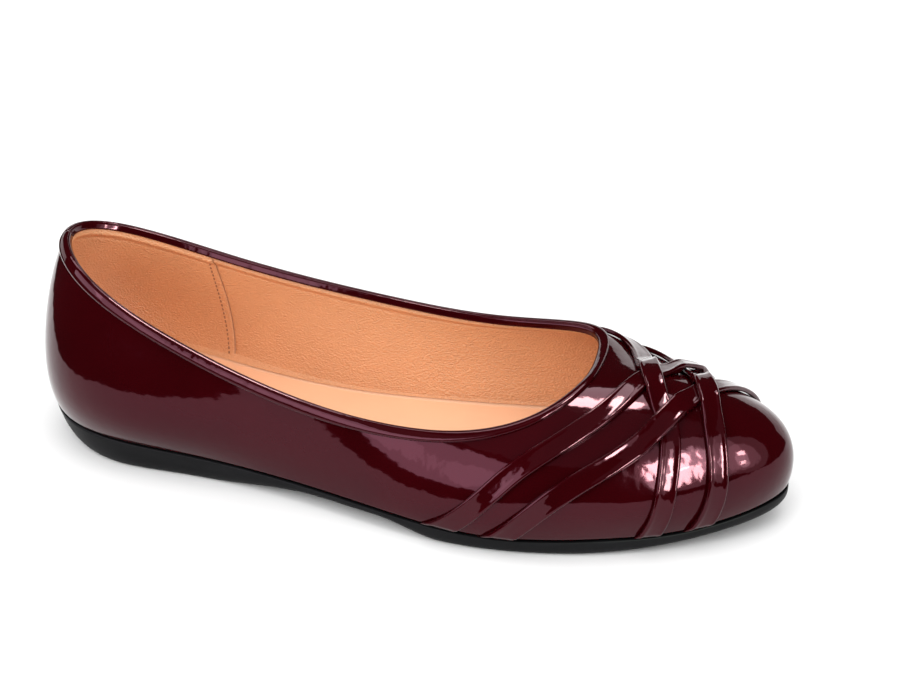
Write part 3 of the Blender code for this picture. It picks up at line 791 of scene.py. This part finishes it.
def all_round(across, other):
    """Directions round a cord, from two unit vectors square to it and to each other."""
    turn = np.linspace(0.0, 2 * math.pi, CORD_SIDES, endpoint=False)[:, None]
    return np.cos(turn) * across[..., None, :] + np.sin(turn) * other[..., None, :]


def add_capsule(points, faces, start, end, caps=(0.02, 0.55, 0.9, 1.0)):
    """Adds a rod with rounded ends to lists of points and faces."""
    axis = unit(end - start)
    side = unit(np.cross(axis, [0.0, 0.0, 1.0]))
    circle = all_round(side, np.cross(axis, side))
    first = len(points)
    stations = [(start, -math.sqrt(1 - share ** 2), share) for share in caps]
    stations += [(end, math.sqrt(1 - share ** 2), share) for share in caps[::-1]]
    rings = []
    for centre, back, share in stations:
        rings.append(centre + (axis * back + circle * share) * STITCH_RADIUS)
    points.extend(np.concatenate(rings).tolist())
    for face in ring_faces(len(rings), CORD_SIDES, False):
        faces.append([first + corner for corner in face])


def pocket_edges(finish):
    """The cut front edge of the heel pocket on both sides, as a fine cord half sunk in the lining. Its dark
    brown is painted shade, a dark line where the seam groove's shade falls.
    """
    t = np.linspace(*POCKET_EDGE_SPAN, POCKET_EDGE_ROWS)
    edge = seam_place(t)
    for name, s in (("pocket_edge_inner", edge), ("pocket_edge_outer", 1.0 - edge)):
        line = lining_line(s, t)
        normal = skin_normal(s, t)
        beside = unit(np.cross(np.gradient(line, axis=0), normal))
        rings = line[:, None] + POCKET_EDGE_RADIUS * all_round(normal, beside)
        ring_piece(name, rings, False, finish)


def pocket_stitches(finish):
    """The row of stitches that holds the heel pocket, behind its front edge on both sides."""
    t = np.linspace(*STITCH_SPAN, STITCH_SEARCH)
    edge = seam_place(t)
    round_step = np.linalg.norm(skin_slopes(edge, t)[0], axis=-1)
    behind = edge + (STITCH_FROM_EDGE + 4 * STITCH_BOW * t * (1 - t)) / round_step
    for name, s in (("stitches_inner", behind), ("stitches_outer", 1.0 - behind)):
        points, faces = stitch_row(s, t)
        add_piece(name, points, faces, finish)


def binding_profile(outer_leg, inner_leg):
    """Points round the folded binding: distance up from the collar edge, and out from the upper's face."""
    tape = BINDING_TAPE
    fold = SEATING_GAP + tape
    inner = -UPPER_WALL - SEATING_GAP
    outside = [(1.0, 0.04), (1.0, 0.36), (0.96, 0.68), (0.88, 0.92), (0.77, 1.07), (0.64, 1.12), (0.50, 1.09),
               (0.36, 1.01), (0.22, 0.89), (0.08, 0.74)]
    over = [(0.10, 0.43), (0.34, 0.27), (0.56, 0.07), (0.74, -0.17), (0.86, -0.42), (0.92, -0.66)]
    crease = [(0.90, -0.98), (0.83, -1.08), (0.70, -1.14), (0.80, -1.22), (0.83, -1.38)]
    inside = [(0.76, -1.75), (0.52, -2.15), (0.20, -2.42)]
    tucked = [(0.10, 0.62), (0.35, 0.74), (0.62, 0.74), (0.84, 0.60), (0.98, 0.34), (1.0, 0.08)]
    profile = [(share * outer_leg, out * tape) for share, out in outside]
    profile += [(share * fold, out * fold) for share, out in over]
    profile += [(share * fold, out * tape) for share, out in crease + inside]
    profile += [(share * inner_leg, inner - out * tape) for share, out in tucked]
    return profile + [(0.5 * inner_leg, inner), (SEATING_GAP, inner), (SEATING_GAP, SEATING_GAP),
                      (0.5 * outer_leg, 0.5 * SEATING_GAP)]


def topline_binding(finish):
    """Folded strip over the collar edge, with its two ends butted at the back."""
    round_slope, _ = skin_slopes(0.0, 1.0)
    half_gap = 0.5 * BINDING_BUTT_GAP / np.linalg.norm(round_slope)
    places = np.linspace(half_gap, 1 - half_gap, BINDING_RINGS)
    edge = skin(places, 1.0)
    _, up_slope = skin_slopes(places, 1.0)
    out = skin_normal(places, 1.0)
    up = unit(up_slope)
    front = smooth_step(BINDING_NARROWS_FROM, BINDING_NARROWS_TO, edge[:, 0] / LENGTH)
    narrowing = (1 - (1 - BINDING_THROAT_SHARE) * front)[:, None]
    profile = binding_profile(-BINDING_OUTER_LEG * narrowing, -BINDING_INNER_LEG * narrowing)
    rings = np.stack([edge + up * along + out * across for along, across in profile], axis=1)
    return ring_piece("topline_binding_patent", rings, False, finish, ("topline_binding",))


def carried_on(knots, values, at):
    """The smooth curve through the values, carried on straight past both its ends."""
    curve = natural_spline(knots, values, np.clip(at, knots[0], knots[-1]))
    step = SLOPE_STEP * knots[-1]
    start = (natural_spline(knots, values, knots[:1] + step) - values[:1]) / step
    end = (values[-1:] - natural_spline(knots, values, knots[-1:] - step)) / step
    before = np.minimum(at - knots[0], 0.0)[:, None]
    after = np.maximum(at - knots[-1], 0.0)[:, None]
    return curve + before * start + after * end


def strap_middle(strap):
    """The strap's middle line as places round the foot and up the wall, evenly spaced, past both feet."""
    sections = np.array([stop.section for stop in strap.route])
    up = np.array([stop.up for stop in strap.route])
    if strap.mirrored:
        sections = len(SECTIONS) - sections
    stops = np.column_stack([around(sections), up])
    points = skin(stops[:, 0], stops[:, 1])
    knots = run_length(points)
    fine = np.linspace(-STRAP_WIDTH, knots[-1] + STRAP_WIDTH, STRAP_SEARCH)
    return carried_on(knots, stops, fine)


def strap_fibre(middle, side):
    """A line at a fixed distance beside the middle line, cut off at the feather line at both ends."""
    s, t = middle[:, 0], middle[:, 1]
    points = skin(s, t)
    along = unit(np.gradient(points, axis=0))
    across = unit(np.cross(skin_normal(s, t), along))
    slopes = np.stack(skin_slopes(s, t), axis=-1)
    turned = slopes.transpose(0, 2, 1)
    move = np.linalg.solve(turned @ slopes, turned @ (across * side)[..., None])[..., 0]
    fibre = middle + move
    above = np.flatnonzero(fibre[:, 1] > 0.0)
    first, final = above[0], above[-1]
    ends = []
    for inside, outside in ((first, first - 1), (final, final + 1)):
        share = fibre[inside, 1] / (fibre[inside, 1] - fibre[outside, 1])
        ends.append(fibre[inside] + share * (fibre[outside] - fibre[inside]))
    fibre = np.vstack([ends[0], fibre[first:final + 1], ends[1]])
    length = run_length(skin(fibre[:, 0], fibre[:, 1]))
    even = np.linspace(0.0, length[-1], STRAP_ROWS)
    return np.column_stack([np.interp(even, length, fibre[:, 0]), np.interp(even, length, fibre[:, 1])])


def strap_lift(points, crossed, ramp):
    """How far an over-passing strap stands off the skin near the middle line of the strap it crosses."""
    reach = np.linalg.norm(points[:, None, :] - crossed[None, :, :], axis=2).min(axis=1)
    full = 0.5 * STRAP_WIDTH + 2 * SEATING_GAP
    return (STRAP_THICKNESS + SEATING_GAP) * (1 - smooth_step(full, full + ramp, reach))


def woven_strap(strap, finish):
    """Folded strip from feather line to feather line, lifted where it passes over its neighbour."""
    middle = strap_middle(strap)
    below = next(other for other in STRAPS if other.name == strap.over)
    below_middle = strap_middle(below)
    crossed = skin(below_middle[:, 0], below_middle[:, 1])
    profile = []
    for side, height in STRAP_TOP + STRAP_BOTTOM:
        fibre = strap_fibre(middle, 0.5 * STRAP_WIDTH * side)
        base = rolled_skin(fibre[:, 0], fibre[:, 1])
        above_seat = base[:, 2] - seat_height(base[:, 0])
        fullness = STRAP_TUCKED + (1 - STRAP_TUCKED) * smooth_step(0.0, STRAP_TUCK, above_seat)
        lift = height * strap_lift(base, crossed, STRAP_RAMP)
        lift += (1 - height) * strap_lift(base, crossed, STRAP_UNDER_RAMP)
        stand_off = fullness * (SEATING_GAP + STRAP_THICKNESS * height) + lift
        profile.append(base + skin_normal(fibre[:, 0], fibre[:, 1]) * stand_off[:, None])
    rings = np.stack(profile, axis=1)
    return ring_piece(strap.name + "_patent", rings, False, finish, (strap.name,))


def paired_places(count):
    """Places up the outer side and up the inner side that lie at the same distances along the shoe."""
    dense = np.linspace(0.0, 1.0, 2 * SEARCH_POINTS)
    along = wall_curve(dense)[0][:, 0]
    tip = dense[np.argmax(along)]
    back = dense[np.argmin(along)]
    if back > tip:
        back -= 1.0
    share = 0.5 * (1 - np.cos(np.linspace(0.0, math.pi, count)))
    stations = along.min() + np.ptp(along) * share
    outer = np.linspace(back, tip, SEARCH_POINTS)
    inner = np.linspace(back + 1.0, tip, SEARCH_POINTS)
    outer_places = np.interp(stations, wall_curve(outer)[0][:, 0], outer)
    inner_places = np.interp(stations, wall_curve(inner)[0][:, 0], inner)
    return outer_places, inner_places[1:-1][::-1]


def sheet_rows(loop, outer_count, across):
    """Level rows of points from the outer side of a loop to its inner side, without the two end points."""
    outer = loop[1:outer_count - 1]
    inner = loop[outer_count:][::-1]
    share = np.linspace(0.0, 1.0, across)[None, :, None]
    return outer[:, None, :] * (1 - share) + inner[:, None, :] * share


def filled_solid(name, loops, outer_count, across, shape_top, shape_bottom, finish, replaced):
    """Solid from stacked closed loops, with a fine grid over its top and one under its bottom."""
    count = len(loops[0])
    points = np.concatenate(loops)
    faces = ring_faces(len(loops), count, False)[:-2]
    blocks = [points]
    total = len(points)
    for base, shape, flip in ((0, shape_top, False), ((len(loops) - 1) * count, shape_bottom, True)):
        rows = shape(sheet_rows(points[base:base + count], outer_count, across))
        inside = rows[:, 1:-1]
        blocks.append(inside.reshape(-1, 3))
        number = np.zeros(rows.shape[:2], dtype=int)
        number[:, 0] = base + np.arange(1, outer_count - 1)
        number[:, -1] = base + np.arange(count - 1, outer_count - 1, -1)
        number[:, 1:-1] = total + np.arange(inside.shape[0] * inside.shape[1]).reshape(inside.shape[:2])
        total += inside.shape[0] * inside.shape[1]
        quads = np.stack([number[:-1, :-1], number[1:, :-1], number[1:, 1:], number[:-1, 1:]], axis=-1)
        grid = quads.reshape(-1, 4).tolist()
        for j in range(across - 1):
            grid.append([base, number[0, j], number[0, j + 1]])
            grid.append([base + outer_count - 1, number[-1, j + 1], number[-1, j]])
        if flip:
            grid = [face[::-1] for face in grid]
        faces.extend([int(corner) for corner in face] for face in grid)
    points = np.concatenate(blocks)
    return add_piece(name, points, faces, finish, points[:, :2], replaced)


def as_they_are(rows):
    return rows


def tread(rows):
    """Wavy grooves across the heel and the forefoot, inside a plain rim."""
    x, y = rows[..., 0], rows[..., 1]
    rim = np.minimum(y - rows[:, :1, 1], rows[:, -1:, 1] - y)
    wave = TREAD_WAVE * np.sin(2 * math.pi * y / TREAD_WAVE_LENGTH)
    phase = np.cos(2 * math.pi * (x + wave) / TREAD_PITCH)
    groove = smooth_step(*TREAD_GROOVE, phase)
    heel, front = (plateau(x / LENGTH, *field) for field in TREAD_FIELDS)
    inside = smooth_step(TREAD_RIM, TREAD_RIM_SLOPE * TREAD_RIM, rim)
    rows[..., 2] = underside_height(x) + TREAD_DEPTH * groove * inside * np.maximum(heel, front)
    return rows


def outsole(finish):
    """Moulded unit with soft edges, a flat top edge under the upper and a fine tread below."""
    outer_places, inner_places = paired_places(SOLE_STATIONS)
    places = np.concatenate([outer_places, inner_places])
    feather, _, _, _, foot_out = wall_curve(places)
    undercut = HEEL_UNDERCUT * (1 - smooth_step(0.0, HEEL_UNDERCUT_END, feather[:, :1] / LENGTH))
    turn = np.linspace(0.0, math.pi / 2, SOLE_ROUND_ROWS)
    under = [(SOLE_ROUND_FROM * (1 - math.sin(angle)), 1 - math.cos(angle), 0.0) for angle in turn]
    loops = []
    for height_share, inset_share, top_share in SOLE_SIDE + under:
        inset = inset_share * SOLE_EDGE_ROUND + (1 - height_share) * undercut + top_share * SOLE_TOP_ROUND
        point = feather + foot_out * (SOLE_EDGE - inset)
        top = seat_height(point[:, 0]) - SEATING_GAP
        bottom = underside_height(point[:, 0])
        point[:, 2] = bottom + height_share * (top - bottom)
        loops.append(point)
    return filled_solid("outsole_rubber", loops, len(outer_places), SOLE_ACROSS, as_they_are, tread, finish,
                        ("outsole",))


def inside_outline(places, above_seat):
    """Outline of the lining's face at a height above the seat, as level points."""
    levels = np.linspace(0.0, OUTLINE_TOP, OUTLINE_LEVELS)
    points = skin(places[:, None], levels) - UPPER_WALL * skin_normal(places[:, None], levels)
    height = points[..., 2] - seat_height(points[..., 0])
    outline = np.zeros((len(places), 3))
    for i in range(len(places)):
        outline[i, 0] = np.interp(above_seat, height[i], points[i, :, 0])
        outline[i, 1] = np.interp(above_seat, height[i], points[i, :, 1])
    return outline


def dished(rows):
    """The sock's surface, a little lower in its middle than at its edges."""
    share = np.linspace(-1.0, 1.0, rows.shape[1])[None, :]
    rows[..., 2] -= INSOLE_DISH * (1 - share ** 2)
    return rows


def insole(finish):
    """Sock on its board, tucked against the lining."""
    outer_places, inner_places = paired_places(INSOLE_STATIONS)
    places = np.concatenate([outer_places, inner_places])
    foot_out = wall_curve(places)[4]
    bottom = UPPER_WALL + SEATING_GAP
    top = bottom + INSOLE_THICKNESS
    layers = [(top - down * INSOLE_EDGE_ROUND, inward * INSOLE_EDGE_ROUND) for down, inward in INSOLE_EDGE]
    layers.append((bottom, 0.0))
    loops = []
    for height, extra_inset in layers:
        point = inside_outline(places, height) - foot_out * (INSOLE_CLEARANCE + COUNTER_STEP + extra_inset)
        point[:, 2] = seat_height(point[:, 0]) + height
        loops.append(point)
    return filled_solid("insole_sock", loops, len(outer_places), INSOLE_ACROSS, dished, as_they_are, finish,
                        ("insole",))


# Stage


def flat_sheet(name, left, right, front, back, height):
    mesh = bpy.data.meshes.new(name)
    corners = [(left, front, height), (right, front, height), (right, back, height), (left, back, height)]
    mesh.from_pydata(corners, [], [(0, 1, 2, 3)])
    return placed(name, mesh)


def backdrop():
    """Curved white wall behind the table, low enough to leave the room above it dark."""
    turns = [math.radians(angle) for angle in range(BACKDROP_FROM, BACKDROP_TO + 1, BACKDROP_STEP)]
    ring = [(BACKDROP_RADIUS * math.cos(turn), BACKDROP_RADIUS * math.sin(turn)) for turn in turns]
    points = [(x, y, height) for height in (0.0, BACKDROP_HEIGHT) for x, y in ring]
    count = len(ring)
    faces = [(i, i + 1, count + i + 1, count + i) for i in range(count - 1)]
    mesh = bpy.data.meshes.new("backdrop")
    mesh.from_pydata(points, [], faces)
    return placed("backdrop", mesh)


def stage():
    """White table whose front edge lies before the shoe, the pale ground round it, and the wall behind."""
    finish = pale_floor()
    table = flat_sheet("table", TABLE_LEFT, TABLE_REACH, TABLE_FRONT, TABLE_REACH, 0.0)
    ground = flat_sheet("ground", -GROUND_REACH, GROUND_REACH, -GROUND_REACH, GROUND_REACH, -GROUND_BELOW)
    ground.visible_glossy = False
    for piece in (table, ground, backdrop()):
        piece.data.materials.append(finish)


def direction(azimuth, elevation):
    """Unit vector, its azimuth counted from +X towards +Y."""
    round_z, up = math.radians(azimuth), math.radians(elevation)
    return Vector((math.cos(round_z) * math.cos(up), math.sin(round_z) * math.cos(up), math.sin(up)))


def soft_light(light):
    """Area light that faces the shoe."""
    aim = direction(light.azimuth, light.elevation)
    lamp = bpy.data.lights.new(light.name, "AREA")
    lamp.shape = light.shape
    lamp.size = 2 * LIGHT_DISTANCE * math.tan(math.radians(light.wide / 2))
    lamp.size_y = 2 * LIGHT_DISTANCE * math.tan(math.radians(light.high / 2))
    lamp.energy = light.radiance * math.pi * lamp.size * lamp.size_y
    lamp.color = light.colour
    stand = placed(light.name, lamp)
    stand.location = aim * LIGHT_DISTANCE + Vector((0.0, 0.0, LIGHT_AIM_HEIGHT))
    stand.rotation_euler = aim.to_track_quat("Z", "Y").to_euler()
    stand.visible_diffuse = not light.mirrored
    stand.visible_glossy = light.mirrored


def studio_air():
    """Pale all round where it is seen or lights the shoe, and dark where gloss mirrors it."""
    world = bpy.data.worlds.new("studio")
    world.use_nodes = True
    nodes, links = world.node_tree.nodes, world.node_tree.links
    air = nodes["Background"]
    air.inputs["Color"].default_value = (1.0, 1.0, 1.0, 1.0)
    path = nodes.new("ShaderNodeLightPath")
    glossy = nodes.new("ShaderNodeMapRange")
    glossy.inputs["To Min"].default_value = AIR_LIGHT
    glossy.inputs["To Max"].default_value = AIR_MIRRORED
    links.new(path.outputs["Is Glossy Ray"], glossy.inputs["Value"])
    links.new(glossy.outputs["Result"], air.inputs["Strength"])
    bpy.context.scene.world = world


# Camera fitted to the photograph: angles in degrees, lens and the sensor's width in millimetres
CAMERA_AZIMUTH = 15.58
CAMERA_ELEVATION = 29.483
CAMERA_ROLL = 0.334
CAMERA_DISTANCE = 0.700
CAMERA_LENS = 88.149
CAMERA_SENSOR = 36.0
CAMERA_CLIP = 0.01
CAMERA_TARGET = (0.12865, 0.01575, 0.03893)


def photo_camera():
    back = direction(CAMERA_AZIMUTH - 90, CAMERA_ELEVATION)
    level = direction(CAMERA_AZIMUTH, 0)
    up = back.cross(level)
    roll = math.radians(CAMERA_ROLL)
    right = level * math.cos(roll) + up * math.sin(roll)
    top = up * math.cos(roll) - level * math.sin(roll)
    place = Vector(CAMERA_TARGET) + Vector(OFFSET) + back * CAMERA_DISTANCE
    lens = bpy.data.cameras.new("photo_camera")
    lens.lens = CAMERA_LENS
    lens.sensor_width = CAMERA_SENSOR
    lens.clip_start = CAMERA_CLIP
    camera = placed("photo_camera", lens)
    camera.matrix_world = Matrix.Translation(place) @ Matrix((right, top, back)).transposed().to_4x4()
    bpy.context.scene.camera = camera


def build():
    bpy.context.scene.view_settings.view_transform = "Standard"
    photo_camera()
    trim_finish = patent_leather("patent_trim", wobble=0.35, ripple=0.65, coat=0.26)
    patent_shell(patent_leather("patent_upper", wobble=0.26, ripple=0.50, coat=0.15))
    lining(grained_lining())
    # The pocket edge cord's dark brown is painted shade along the seam
    pocket_edges(fibrous("edge_painted_shade", EDGE_SHADE_BROWN))
    pocket_stitches(fibrous("thread_brown", THREAD_BROWN))
    topline_binding(trim_finish)
    for strap in STRAPS:
        woven_strap(strap, trim_finish)
    insole(smooth_sock())
    outsole(moulded_rubber())
    stage()
    studio_air()
    for light in LIGHTS:
        soft_light(light)


build()
